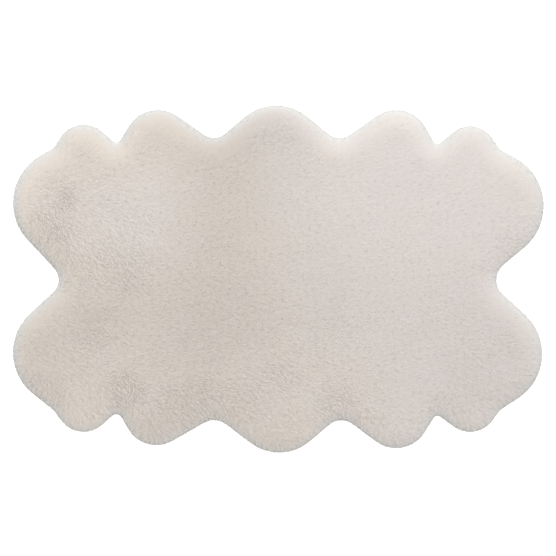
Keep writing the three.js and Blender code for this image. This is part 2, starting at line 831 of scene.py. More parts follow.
class DyeAndPaintedLight:
    """How light or dusky the pile looks from place to place.

    The light and shade here are painted into the colour: painted bands and patches make the pile
    duskier or lighter, and a painted glow brightens the rim, standing for light through its fine
    hair. The dye's warmth and the painted rim tone are worked out here too.
    """

    # Painted bands of shade, and patches of painted light and shade, over the pile.
    PAINTED_SHADE_BANDS = (
        PaintedShadeBand((1.0, -0.25), -0.21, 0.37, 0.91),
        PaintedShadeBand((0.0, 1.0), -0.14, 0.34, 0.955),
        PaintedShadeBand((0.0, 1.0), -0.40, 0.22, 0.988),
    )
    PAINTED_LIGHT_AND_SHADE_PATCHES = (
        PaintedLightAndShadePatch(-0.84, 0.30, 0.11, 1.045),
        PaintedLightAndShadePatch(-0.50, 0.14, 0.16, 1.01),
        PaintedLightAndShadePatch(-0.71, 0.09, 0.10, 1.035),
        PaintedLightAndShadePatch(-0.61, -0.03, 0.06, 1.02),
        PaintedLightAndShadePatch(-0.40, 0.48, 0.10, 0.97),
        PaintedLightAndShadePatch(-0.22, 0.45, 0.14, 0.94),
        PaintedLightAndShadePatch(-0.22, 0.18, 0.12, 0.975),
        PaintedLightAndShadePatch(0.20, 0.46, 0.07, 1.03),
        PaintedLightAndShadePatch(0.42, 0.55, 0.12, 1.055),
        PaintedLightAndShadePatch(0.70, 0.42, 0.15, 1.03),
        PaintedLightAndShadePatch(0.15, 0.08, 0.14, 0.965),
        PaintedLightAndShadePatch(0.15, -0.12, 0.10, 0.975),
        PaintedLightAndShadePatch(-0.07, -0.14, 0.12, 0.975),
        PaintedLightAndShadePatch(-0.50, -0.05, 0.10, 0.965),
        PaintedLightAndShadePatch(-0.62, -0.14, 0.10, 0.945),
        PaintedLightAndShadePatch(-0.77, -0.27, 0.10, 0.965),
        PaintedLightAndShadePatch(-0.51, -0.37, 0.06, 1.025),
        PaintedLightAndShadePatch(-0.70, -0.48, 0.08, 1.035),
        PaintedLightAndShadePatch(-0.40, -0.38, 0.17, 1.04),
        PaintedLightAndShadePatch(-0.42, -0.53, 0.09, 1.03),
        PaintedLightAndShadePatch(-0.17, -0.38, 0.10, 1.03),
        PaintedLightAndShadePatch(0.00, -0.54, 0.09, 0.97),
        PaintedLightAndShadePatch(0.65, -0.36, 0.16, 0.97),
        PaintedLightAndShadePatch(0.68, -0.51, 0.07, 1.04),
        PaintedLightAndShadePatch(-0.71, 0.28, 0.03, 0.95),
        PaintedLightAndShadePatch(-0.21, 0.49, 0.05, 0.97),
        PaintedLightAndShadePatch(0.00, 0.57, 0.05, 0.98),
        PaintedLightAndShadePatch(-0.79, -0.03, 0.09, 0.965),
        PaintedLightAndShadePatch(-0.77, -0.45, 0.05, 0.965),
        PaintedLightAndShadePatch(-0.54, -0.47, 0.05, 0.97),
        PaintedLightAndShadePatch(0.21, -0.49, 0.06, 0.98),
    )
    # How warm the cloth's cooler end is, the way to it, and how far along that way the warmer
    # end stops and the cooler one starts.
    COOL_END = 0.38
    COOL_WAY = (1.0, 0.2)
    WARM_UNTIL = -0.1
    COOL_FROM = 0.14
    DYE_PATCHES = (
        DyePatch(-0.47, 0.22, 0.16, 0.2, 0.85),
        DyePatch(-0.72, 0.20, 0.11, 0.2, 0.3),
        DyePatch(-0.71, 0.26, 0.05, 1.0, 0.9),
        DyePatch(0.00, -0.40, 0.09, 0.6, 0.8),
        DyePatch(0.46, 0.37, 0.12, 0.0, 0.8),
        DyePatch(0.67, 0.22, 0.12, 0.0, 0.8),
        DyePatch(0.16, -0.24, 0.08, 0.9, 0.6),
        DyePatch(0.23, -0.40, 0.13, 1.0, 0.75),
    )
    # How deep the rim is, and how much brighter a painted glow makes its fine hair at the outline,
    # standing for light through it.
    RIM_DEPTH = 95 * MM
    PAINTED_RIM_GLOW = 0.06
    # The rim share at which the painted rim tone starts.
    PAINTED_RIM_FROM = 0.69
    # The side that faces away from the lamp, whose rim lies in shade, so its painted rim tone is
    # weaker by this share.
    SHADED_SIDE = (0.0, -1.3)
    SHADED_SIDE_LOSS = 0.12

    def __init__(self, outline: RugOutline) -> None:
        """Prepares the dye's warmth and the painted light and shade for an outline."""
        self.outline = outline

    def _rim(self, places: np.ndarray) -> np.ndarray:
        """How near the outline each place is, from 0 over the field to 1 at the outline."""
        return 1 - smoothstep(self.outline.depth(places), 0, self.RIM_DEPTH)

    def painted_rim_share(self, places: np.ndarray) -> np.ndarray:
        """How much of the painted rim tone each place gets, standing for light through the fine
        hair at the rim and shade under it.

        Args:
            places: Flat places, as x and y along the last axis.

        Returns:
            Numbers from 0 over the field to 1 at the outline.
        """
        # How much the rim faces away from the lamp, into shade, where the painted rim tone is
        # weaker.
        dense = self.outline.facing(places, self.SHADED_SIDE)
        rim = self._rim(places) * (1 - self.SHADED_SIDE_LOSS * dense)
        return np.clip((rim - self.PAINTED_RIM_FROM) / (1 - self.PAINTED_RIM_FROM), 0, 1)

    def warmth(self, places: np.ndarray) -> np.ndarray:
        """How much of the warmer tone the dye has.

        Args:
            places: Flat places, as x and y along the last axis.

        Returns:
            Numbers from 0 to 1.
        """
        along = places @ np.array(self.COOL_WAY)
        warmth = 1 - (1 - self.COOL_END) * smoothstep(along, self.WARM_UNTIL, self.COOL_FROM)
        for patch in self.DYE_PATCHES:
            warmth = patch.drawn(places, warmth)
        return warmth

    def painted_brightness(self, places: np.ndarray) -> np.ndarray:
        """How bright the painted light and shade make the pile at each place, as a share of its
        dye.

        Args:
            places: Flat places, as x and y along the last axis.

        Returns:
            Numbers about 1.
        """
        painted_rim = self.painted_rim_share(places)
        # Painted glow along the rim.
        share = 1 + self.PAINTED_RIM_GLOW * self._rim(places)
        # Painted bands of shade; the painted rim tone keeps the dye's own brightness; then patches
        # of painted light and shade.
        for band in self.PAINTED_SHADE_BANDS:
            share = share * band.share(places)
        share = share + (1 - share) * painted_rim
        for patch in self.PAINTED_LIGHT_AND_SHADE_PATCHES:
            share = share * patch.share(places)
        return share

    def tell(self, mesh: bpy.types.Mesh, places: np.ndarray) -> None:
        """Gives a mesh the attributes that the dye reads: its warmth, the painted rim tone and the
        painted light and shade.

        Args:
            mesh: The mesh.
            places: Where its points lie, as x and y along the last axis.
        """
        set_shares(mesh, "hair_warm", self.warmth(places))
        set_shares(mesh, "hair_painted_rim", self.painted_rim_share(places))
        set_shares(mesh, "hair_painted_light", self.painted_brightness(places))


class PileSurface:
    """The surface that the combed hair follows: flat on the crown and round over the rim.

    A flat place inside the outline stands for a point of this surface. Over the rim the flat
    depth, from the outline up to the crown, is spread evenly along the rim's section.
    """

    # The crown swells up and down by this much, with swells of this length.
    SWELL = 0.4 * MM
    SWELL_LENGTH = 0.11
    # The distance over which the tilt of a swell is measured.
    TILT_STEP = 5 * MM
    # How far the loose ends lean out at the rim, and again where it rolls to the floor.
    LEAN_DEPTH = 100 * MM
    LEAN = 0.42
    ROLL_DEPTH = 25 * MM
    ROLL_LEAN = 1.8

    def __init__(self, outline: RugOutline, section: RimSection) -> None:
        """Prepares the surface.

        Args:
            outline: The rug's outline.
            section: The rim's section.
        """
        self.outline = outline
        self.section = section
        # Dye warmth, painted rim tone, and painted light and shade for the pile's colour.
        self.dye_and_light = DyeAndPaintedLight(outline)
        self.swell = Ripple(self.SWELL_LENGTH, seed=8)
        arc, self._inset, self._height = section.table()
        self._depth = section.run * arc / arc[-1]
        rise = np.gradient(self._height, self._depth)
        draw = np.gradient(self._inset, self._depth)
        self._slope = np.arctan2(rise, draw)
        self._slope[-1] = 0.0

    def loosened(self, places: np.ndarray) -> np.ndarray:
        """Which way the loose ends of the hair face: up over the field, and out near the rim.

        Args:
            places: Flat places, as x and y along the last axis.

        Returns:
            Unit vectors.
        """
        depth = self.outline.depth(places)
        lean = self.LEAN * (1 - smoothstep(depth, 0, self.LEAN_DEPTH))
        lean += self.ROLL_LEAN * (1 - smoothstep(depth, 0, self.ROLL_DEPTH))
        outward = -self.outline.spread(places) * lean[..., None]
        return unit(np.concatenate([outward, np.ones_like(outward[..., :1])], -1))

    def level(self, places: np.ndarray) -> np.ndarray:
        """Measures how high the surface is right above places.

        Args:
            places: Flat places, as x and y along the last axis, past the outline too.

        Returns:
            The heights.
        """
        depth = np.maximum(self.outline.depth(places), 0)
        rise = self._inset.argmin()
        height = np.interp(depth, self._inset[rise:], self._height[rise:])
        crown = self.SWELL * smoothstep(depth, 0, self.section.run)
        return height + crown * (self.swell.at(places) - 1)

    def wrap(self, places: np.ndarray) -> tuple[np.ndarray, np.ndarray]:
        """Lays flat places over the surface.

        Args:
            places: Flat places, as x and y along the last axis.

        Returns:
            Their points in space, and the surface's outward normal there.
        """
        depth = self.outline.depth(places)
        inward = self.outline.inward(places)
        held = np.maximum(depth, 0)
        on_rim = held < self.section.run
        inset = np.where(on_rim, np.interp(held, self._depth, self._inset), held)
        height = np.interp(held, self._depth, self._height)
        slope = np.where(on_rim, np.interp(held, self._depth, self._slope), 0.0)
        flat = places + inward * (inset - depth)[..., None]
        crown = self.SWELL * smoothstep(depth, 0, self.section.run)
        here = self.swell.at(places)
        step = self.TILT_STEP
        tilt = [self.swell.at(places + nudge) - here for nudge in ((step, 0), (0, step))]
        points = np.concatenate([flat, (height + crown * (here - 1))[..., None]], -1)
        lean = -inward * np.sin(slope)[..., None]
        lean = lean - np.stack(tilt, -1) * (crown / step)[..., None]
        normals = unit(np.concatenate([lean, np.cos(slope)[..., None]], -1))
        return points, normals


class Lay(Enum):
    """How ruffled a stroke of the comb leaves the hair, where 0 is sleek and 1 is ruffled."""

    SLEEK = 0.36
    EVEN = 0.42
    FULL = 0.55
    LOOSE = 0.68
    RUFFLED = 0.95
    TOUSLED = 1.35


@dataclass(frozen=True)
class Stroke:
    """One stroke of the comb over the pile.

    Attributes:
        x: Middle of the stroke along the rug.
        y: Middle of the stroke across the rug.
        heading: Where the hair points, in degrees from +X.
        reach: How far the stroke is felt.
        lay: How ruffled the hair is left.
    """

    x: float
    y: float
    heading: float
    reach: float
    lay: Lay = Lay.EVEN


class Comb:
    """How the hair lies: one way over the field, turned by a few strokes, fanned at the rim."""

    HEADING = -5.0
    STROKES = (
        Stroke(-0.75, 0.40, 38, 0.05),
        Stroke(-0.64, 0.40, 22, 0.05, Lay.LOOSE),
        Stroke(-0.46, 0.45, 38, 0.05, Lay.LOOSE),
        Stroke(-0.33, 0.48, 28, 0.05, Lay.EVEN),
        Stroke(-0.75, 0.32, -15, 0.05, Lay.RUFFLED),
        Stroke(-0.63, 0.29, -16, 0.07, Lay.LOOSE),
        Stroke(-0.71, 0.26, -80, 0.03, Lay.TOUSLED),
        Stroke(-0.75, 0.14, -84, 0.07, Lay.TOUSLED),
        Stroke(-0.63, 0.18, -38, 0.06, Lay.LOOSE),
        Stroke(-0.64, 0.04, -56, 0.08, Lay.RUFFLED),
        Stroke(-0.50, 0.17, -50, 0.07, Lay.LOOSE),
        Stroke(-0.52, 0.04, -52, 0.07, Lay.RUFFLED),
        Stroke(-0.38, 0.15, -34, 0.06, Lay.EVEN),
        Stroke(-0.41, 0.00, 4, 0.05, Lay.FULL),
        Stroke(-0.42, -0.14, -2, 0.06, Lay.FULL),
        Stroke(-0.42, -0.28, 2, 0.05, Lay.LOOSE),
        Stroke(-0.31, -0.26, -2, 0.05, Lay.FULL),
        Stroke(-0.61, -0.10, -25, 0.06, Lay.LOOSE),
        Stroke(-0.62, -0.18, -36, 0.05, Lay.RUFFLED),
        Stroke(-0.78, -0.20, -46, 0.07, Lay.LOOSE),
        Stroke(-0.78, -0.39, -84, 0.05, Lay.RUFFLED),
        Stroke(-0.63, -0.27, -30, 0.05, Lay.LOOSE),
        Stroke(-0.53, -0.20, -62, 0.04, Lay.LOOSE),
        Stroke(-0.65, -0.40, -62, 0.07, Lay.LOOSE),
        Stroke(-0.65, -0.49, -55, 0.04, Lay.EVEN),
        Stroke(-0.52, -0.38, -82, 0.05, Lay.TOUSLED),
        Stroke(-0.35, -0.42, -44, 0.05, Lay.RUFFLED),
        Stroke(-0.43, -0.50, -66, 0.04, Lay.RUFFLED),
        Stroke(-0.24, -0.41, -46, 0.07, Lay.RUFFLED),
        Stroke(-0.10, -0.41, -34, 0.05, Lay.RUFFLED),
        Stroke(0.01, -0.33, -38, 0.05, Lay.RUFFLED),
        Stroke(0.00, -0.44, -36, 0.06, Lay.LOOSE),
        Stroke(0.11, -0.27, -32, 0.05, Lay.LOOSE),
        Stroke(0.20, -0.42, -34, 0.06, Lay.RUFFLED),
        Stroke(0.33, -0.44, -32, 0.06, Lay.LOOSE),
        Stroke(0.30, -0.32, -15, 0.06, Lay.FULL),
        Stroke(0.45, -0.38, -8, 0.07),
        Stroke(0.65, -0.39, -36, 0.08, Lay.FULL),
        Stroke(-0.25, -0.06, -14, 0.12, Lay.FULL),
        Stroke(-0.21, -0.20, -26, 0.08, Lay.FULL),
        Stroke(0.00, -0.18, -30, 0.08, Lay.FULL),
        Stroke(0.19, -0.21, -28, 0.07, Lay.FULL),
        Stroke(-0.32, 0.30, -10, 0.06),
        Stroke(-0.02, 0.23, -14, 0.08, Lay.SLEEK),
        Stroke(-0.20, 0.38, 16, 0.06, Lay.FULL),
        Stroke(-0.05, 0.49, 38, 0.05, Lay.LOOSE),
        Stroke(0.03, 0.49, -30, 0.04, Lay.LOOSE),
        Stroke(0.01, 0.39, 0, 0.04, Lay.SLEEK),
        Stroke(0.13, 0.38, 14, 0.06, Lay.FULL),
        Stroke(0.37, 0.24, 2, 0.15, Lay.SLEEK),
        Stroke(0.57, 0.34, 26, 0.12, Lay.SLEEK),
        Stroke(0.62, 0.12, 2, 0.13, Lay.SLEEK),
        Stroke(0.77, 0.10, -14, 0.05, Lay.FULL),
        Stroke(0.77, -0.20, -12, 0.07, Lay.FULL),
    )
    # How firm a stroke is, next to the comb's first pass over the whole rug.
    FIRMNESS = 8.0
    FAN_DEPTH = 90 * MM
    # How far the hair sways over long and over short stretches, in degrees, the lengths of
    # those stretches, and how much of the sway is combed out at the rim.
    SWAY = 5
    SWAY_LENGTH = 0.34
    SWIRL = 8
    SWIRL_LENGTH = 0.075
    FAN_CALM = 0.7
    # The side whose rim was brushed out smooth, and how deep.
    BRUSHED_SIDE = (0.3, 1.3)
    BRUSHED_DEPTH = 110 * MM
    # How ruffled the rim is where it was not brushed out, and how much of that it keeps.
    RIM_LAY = 0.82
    RIM_HOLD = 0.6

    def __init__(self, outline: RugOutline) -> None:
        """Prepares the comb.

        Args:
            outline: The rug's outline.
        """
        self.outline = outline
        self.sway = Ripple(self.SWAY_LENGTH, seed=5)
        self.swirl = Ripple(self.SWIRL_LENGTH, seed=6)

    def _felt(self, places: np.ndarray) -> np.ndarray:
        """How firmly each pass of the comb is felt at each place.

        Args:
            places: Flat places, as rows of x and y.

        Returns:
            A row for the first pass over the whole rug, then a row for each stroke.
        """
        gaps = [np.linalg.norm(places - (s.x, s.y), axis=1) / s.reach for s in self.STROKES]
        felt = self.FIRMNESS * np.exp(-np.square(gaps))
        return np.concatenate([np.ones((1, len(places))), felt])

    def flow(self, places: np.ndarray) -> np.ndarray:
        """Which way the hair points and how firmly.

        Args:
            places: Flat places, as rows of x and y.

        Returns:
            Rows of x and y, of length 1 where the hair is combed one way and shorter where
            strokes meet from different sides.
        """
        turns = np.radians([self.HEADING, *(stroke.heading for stroke in self.STROKES)])
        felt = self._felt(places)
        flow = np.stack([np.cos(turns) @ felt, np.sin(turns) @ felt], 1)
        flow /= felt.sum(0)[:, None]
        fan = 1 - smoothstep(self.outline.depth(places), 0, self.FAN_DEPTH)
        flow = flow * (1 - fan)[:, None] - self.outline.spread(places) * fan[:, None]
        sway = math.radians(self.SWAY) * self.sway.at(places)
        sway += math.radians(self.SWIRL) * self.swirl.at(places)
        sway *= 1 - self.FAN_CALM * fan
        cos, sin = np.cos(sway), np.sin(sway)
        x, y = flow.T
        return np.stack([x * cos - y * sin, x * sin + y * cos], 1)

    def ruffle(self, places: np.ndarray) -> np.ndarray:
        """How ruffled the hair is. The rim was brushed out smooth on one side only.

        Args:
            places: Flat places, as rows of x and y.

        Returns:
            Numbers from 0, sleek, to 1, ruffled.
        """
        lays = np.array([Lay.EVEN.value, *(stroke.lay.value for stroke in self.STROKES)])
        felt = self._felt(places)
        rim = 1 - smoothstep(self.outline.depth(places), 0, self.BRUSHED_DEPTH)
        brushed = self.outline.facing(places, self.BRUSHED_SIDE)
        ruffled = lays @ felt / felt.sum(0) * (1 - rim * brushed)
        return ruffled + (self.RIM_LAY - ruffled) * self.RIM_HOLD * rim * (1 - brushed)


# ---------------------------------------------------------------------------------------------
# The rug's pieces
# ---------------------------------------------------------------------------------------------


def mesh_object(name: str, mesh: bpy.types.Mesh, material: bpy.types.Material) -> bpy.types.Object:
    """Links a mesh to the scene as an object at the origin.

    Args:
        name: The object's name.
        mesh: Its mesh, in the rug's frame.
        material: Its material.

    Returns:
        The object.
    """
    mesh.materials.clear()
    mesh.materials.append(material)
    piece = bpy.data.objects.new(name, mesh)
    bpy.context.scene.collection.objects.link(piece)
    return piece


@dataclass
class BackingCloth:
    """The knitted cloth that holds the pile, cut a little inside the hair's reach.

    Attributes:
        thickness: Thickness of the cloth.
        inset: How far the cut edge lies inside the hair's reach.
        edge_round: Rounding of the cut edge.
    """

    thickness: float = 3 * MM
    inset: float = 14 * MM
    edge_round: float = 1 * MM

    def build(self, outline: RugOutline) -> bpy.types.Object:
        """Makes the cloth as one closed sheet.

        Args:
            outline: The rug's outline.

        Returns:
            The piece.
        """
        form = bmesh.new()
        corners = [form.verts.new((x, y, 0)) for x, y in outline.inset(self.inset)]
        sheet = form.faces.new(corners)
        if sheet.normal.z > 0:
            sheet.normal_flip()
        raised = bmesh.ops.extrude_face_region(form, geom=[sheet])["geom"]
        top = [v for v in raised if isinstance(v, bmesh.types.BMVert)]
        bmesh.ops.translate(form, vec=(0, 0, self.thickness), verts=top)
        bmesh.ops.recalc_face_normals(form, faces=form.faces)
        level = 0.1 * MM
        edges = [e for e in form.edges if abs(e.verts[0].co.z - e.verts[1].co.z) < level]
        bmesh.ops.bevel(
            form,
            geom=edges,
            offset=self.edge_round,
            affect="EDGES",
            segments=2,
            profile=0.5,
            material=-1,
        )
        bmesh.ops.triangulate(form, faces=[f for f in form.faces if len(f.verts) > 4])
        # The bevel leaves the faces in no set order, so they are sorted to be the same each run.
        form.verts.index_update()
        faces = sorted([vert.index for vert in face.verts] for face in form.faces)
        mesh = bpy.data.meshes.new("backing")
        mesh.from_pydata([vert.co for vert in form.verts], [], faces)
        form.free()
        return mesh_object("backing", mesh, KnitFinish().make())


@dataclass
class UnderfurBed:
    """The dense fluff that the guard hairs stand in, a little lower than they lie.

    Attributes:
        cell: Size of the bed's facets.
        sink: How far the bed lies under the lay of the hair where it is sleek.
        ruffled_sink: The same where it is ruffled.
        tuft: Height of its uneven tufts.
        tuft_width: Width of a tuft.
        lap: How far the bed reaches down into the backing.
    """

    cell: float = 10 * MM
    sink: float = 0.6 * MM
    ruffled_sink: float = 2.5 * MM
    tuft: float = 0.4 * MM
    tuft_width: float = 22 * MM
    lap: float = 0.2 * MM

    def build(
        self,
        solid: bpy.types.Object,
        surface: PileSurface,
        comb: Comb,
        backing: BackingCloth,
    ) -> bpy.types.Object:
        """Makes the bed from a copy of the solid.

        Args:
            solid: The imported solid, which is left as it is.
            surface: The surface that the combed hair follows.
            comb: How the hair lies.
            backing: The cloth that the bed stands on.

        Returns:
            The piece.
        """
        form = bmesh.new()
        form.from_mesh(solid.data)
        bmesh.ops.remove_doubles(form, verts=form.verts, dist=WELD)
        mesh = bpy.data.meshes.new("underfur")
        form.to_mesh(mesh)
        form.free()
        bed = mesh_object("underfur", mesh, UnderfurFinish().make())
        remesh = bed.modifiers.new("even_facets", "REMESH")
        remesh.mode = "VOXEL"
        remesh.voxel_size = self.cell
        remesh.use_smooth_shade = True
        view = bpy.context.evaluated_depsgraph_get()
        evened = bpy.data.meshes.new_from_object(bed.evaluated_get(view))
        bed.modifiers.clear()
        bed.data = evened
        self._shrink(bed.data, surface, comb, backing)
        return bed

    def _shrink(
        self,
        mesh: bpy.types.Mesh,
        surface: PileSurface,
        comb: Comb,
        backing: BackingCloth,
    ) -> None:
        """Draws the bed in under the lay of the hair and ruffles its top.

        Args:
            mesh: The bed's mesh, which is changed.
            surface: The surface that the combed hair follows.
            comb: How the hair lies.
            backing: The cloth that the bed stands on.
        """
        count = len(mesh.vertices)
        places = np.empty(count * 3)
        mesh.vertices.foreach_get("co", places)
        places = places.reshape(-1, 3)
        normals = np.array([n.vector for n in mesh.vertex_normals])
        ruffle = comb.ruffle(places[:, :2])
        sink = self.sink + (self.ruffled_sink - self.sink) * ruffle**2
        places -= normals * sink[:, None]
        roof = surface.level(places[:, :2]) - sink
        places[:, 2] = np.minimum(places[:, 2], roof)
        tufts = Ripple(self.tuft_width, seed=11).at(places[:, :2])
        places[:, 2] += self.tuft * tufts * np.clip(normals[:, 2], 0, 1)
        places[:, 2] = np.maximum(places[:, 2], backing.thickness - self.lap)
        mesh.vertices.foreach_set("co", places.ravel())
        # Painted light and shade, painted rim tone and dye warmth for the under-fur's colour.
        surface.dye_and_light.tell(mesh, places[:, :2])
        set_shares(mesh, "fluff_ruffle", comb.ruffle(places[:, :2]))
        mesh.update()


@dataclass
class LockShape:
    """The size of one lock of hair, in which many fibres cling together.

    Attributes:
        length: Length of a lock over the field, sleek and ruffled.
        rim_length: Length of a lock at the rim.
        width: Width of a lock at its broadest.
        width_spread: The narrowest and the widest lock, as shares of that width.
        thickness: Thickness as a share of the width, in sleek and in fully ruffled hair.
        root_sink: How far the root lies under the lay of the hair, sleek and ruffled.
        middle_sink: How far its middle lies under it, sleek and ruffled.
        tip_sink: How far its tip dips under it, sleek and ruffled.
        broadest: Where the lock is broadest, as a share of its length.
        length_spread: Share by which lengths differ.
        loose_loss: Share by which a lock is shorter where strokes meet.
        lift: How far a lock rises and sinks from its neighbours, sleek and ruffled.
        stray: Spread of a lock's heading from its tuft's, in degrees.
        bend: Share of its length by which a lock bends aside.
    """

    length: tuple[float, float] = (21 * MM, 13 * MM)
    rim_length: float = 20 * MM
    width: float = 3.6 * MM
    width_spread: tuple[float, float] = (0.75, 1.2)
    thickness: tuple[float, float] = (0.05, 0.33)
    root_sink: tuple[float, float] = (1.8 * MM, 3.5 * MM)
    middle_sink: tuple[float, float] = (0.6 * MM, 1.2 * MM)
    tip_sink: tuple[float, float] = (0.7 * MM, 1.0 * MM)
    broadest: float = 0.42
    length_spread: float = 0.22
    loose_loss: float = 0.4
    lift: tuple[float, float] = (0.05 * MM, 0.8 * MM)
    stray: float = 6
    bend: float = 0.06


@dataclass
class TuftShape:
    """How locks gather into tufts, in sleek hair and in fully ruffled hair.

    Attributes:
        spacing: Distance from a tuft to the next.
        pinch: Share by which its locks draw together towards their tips, sleek and ruffled.
        crest: How far a tuft's middle stands over its sides, sleek and ruffled.
        lift: How far a tuft rises and sinks from its neighbours, sleek and ruffled.
        wander: Spread of a tuft's heading from the comb's, in degrees, sleek and ruffled.
        loose_wander: Spread that is added where strokes meet, in degrees.
        roundness: How far a tuft's shading turns from its middle to its sides, sleek and ruffled.
    """

    spacing: float = 8.0 * MM
    pinch: tuple[float, float] = (0.3, 0.6)
    crest: tuple[float, float] = (0, 0.7 * MM)
    lift: tuple[float, float] = (0, 0.3 * MM)
    wander: tuple[float, float] = (9, 12)
    loose_wander: float = 32
    roundness: tuple[float, float] = (0, 0.26)


class Tufts:
    """The tufts of the whole pile, in staggered columns.

    Attributes:
        centres: The tufts' middles, as rows of x and y.
        ruffle: How ruffled each tuft is.
        heading: Where each tuft points, in radians from +X.
        looseness: How much the strokes meet at each tuft, from 0 to 1.
        tone: Shade of each tuft, from -1 to 1.
        lift: How far each tuft rises or sinks.
    """

    # How far a tuft may lie off its place in its column, as a share of the spacing.
    STRAY = 0.22

    def __init__(self, comb: Comb, shape: TuftShape, rng: np.random.Generator) -> None:
        """Sets the tufts out over the comb's outline.

        Args:
            comb: How the hair lies.
            shape: How locks gather into tufts.
            rng: Source of everything uneven in the tufts.
        """
        self.shape = shape
        self._step = shape.spacing * np.array([ROW_STEP, 1])
        rim = comb.outline.rim
        self._low = rim.min(0) - 2 * self._step
        columns, self._rows = np.ceil((rim.max(0) - self._low) / self._step).astype(int) + 3
        column, row = np.mgrid[:columns, : self._rows]
        cells = np.stack([column, row + column % 2 / 2], -1).reshape(-1, 2)
        count = len(cells)
        cells = cells + rng.uniform(-self.STRAY, self.STRAY, (count, 2))
        self.centres = self._low + cells * self._step
        self.ruffle = comb.ruffle(self.centres)
        flow = comb.flow(self.centres)
        self.looseness = 1 - np.clip(np.linalg.norm(flow, axis=1), 0, 1)
        wander = self.between(shape.wander) + shape.loose_wander * self.looseness
        self.heading = np.arctan2(flow[:, 1], flow[:, 0])
        self.heading += np.radians(wander) * rng.standard_normal(count)
        self.tone = rng.uniform(-1, 1, count)
        self.lift = self.between(shape.lift) * rng.uniform(-1, 1, count)

    def between(self, ends: tuple[float, float]) -> np.ndarray:
        """Each tuft's own value between the sleek one and the ruffled one."""
        return ends[0] + (ends[1] - ends[0]) * self.ruffle

    def of(self, places: np.ndarray) -> np.ndarray:
        """Finds the tuft that each place belongs to.

        Args:
            places: Flat places, as rows of x and y.

        Returns:
            The tufts' numbers.
        """
        cells = (places - self._low) / self._step
        column = np.rint(cells[:, 0]).astype(int)
        row = np.rint(cells[:, 1] - column % 2 / 2).astype(int)
        return column * self._rows + row


class StreakToneAndShade:
    """Faint streak-like bands of tone and painted shade that run along the hair for the length of a
    lock or so.

    A pale streak lies between dusky ones, painted shade that stands for a strand's own shadows.
    """

    CELL = 3.4 * MM
    # How many spare cells there are past the outline.
    SPARE = 5
    # Where along a streak its shade is gathered, either side of a root.
    REACH = np.array([-6, -2, 2, 6]) * MM
    # How far aside the streaks lie that a streak stands out against.
    SPACING = 6.8 * MM
    # Share of a cell's spread that a lock has.
    STRENGTH = 0.66

    def __init__(self, rim: np.ndarray, seed: int) -> None:
        """Draws the shades that the streaks are gathered from.

        Args:
            rim: The outline's points.
            seed: Seed of the shades.
        """
        self._low = rim.min(0) - self.SPARE * self.CELL
        cells = np.ceil((rim.max(0) - self._low) / self.CELL).astype(int) + self.SPARE
        self._shades = np.random.default_rng(seed).standard_normal(cells)

    def at(self, roots: np.ndarray, heading: np.ndarray) -> np.ndarray:
        """Reads the streaks.

        Args:
            roots: Flat places, as rows of x and y.
            heading: Where the hair points at each, in radians from +X.

        Returns:
            The streak's shade at each place, about 0.
        """
        along = np.stack([np.cos(heading), np.sin(heading)], 1)
        aside = self.SPACING * np.stack([-along[:, 1], along[:, 0]], 1)
        sides = (0, aside, -aside)
        streak, left, right = (self._gathered(roots + side, along) for side in sides)
        # Less half of each neighbour, the spread of a streak is the root of 1.5.
        return self.STRENGTH * (streak - (left + right) / 2) / math.sqrt(1.5)

    def _gathered(self, roots: np.ndarray, along: np.ndarray) -> np.ndarray:
        """Gathers the shades along the hair, either side of each root.

        Args:
            roots: Flat places, as rows of x and y.
            along: Which way the hair points at each, as rows of x and y.

        Returns:
            The gathered shade at each place, about 0 with a spread of about 1.
        """
        places = roots[:, None] + self.REACH[:, None] * along[:, None]
        column, row = np.rint((places - self._low) / self.CELL).astype(int).T
        return self._shades[column, row].sum(0) / math.sqrt(len(self.REACH))


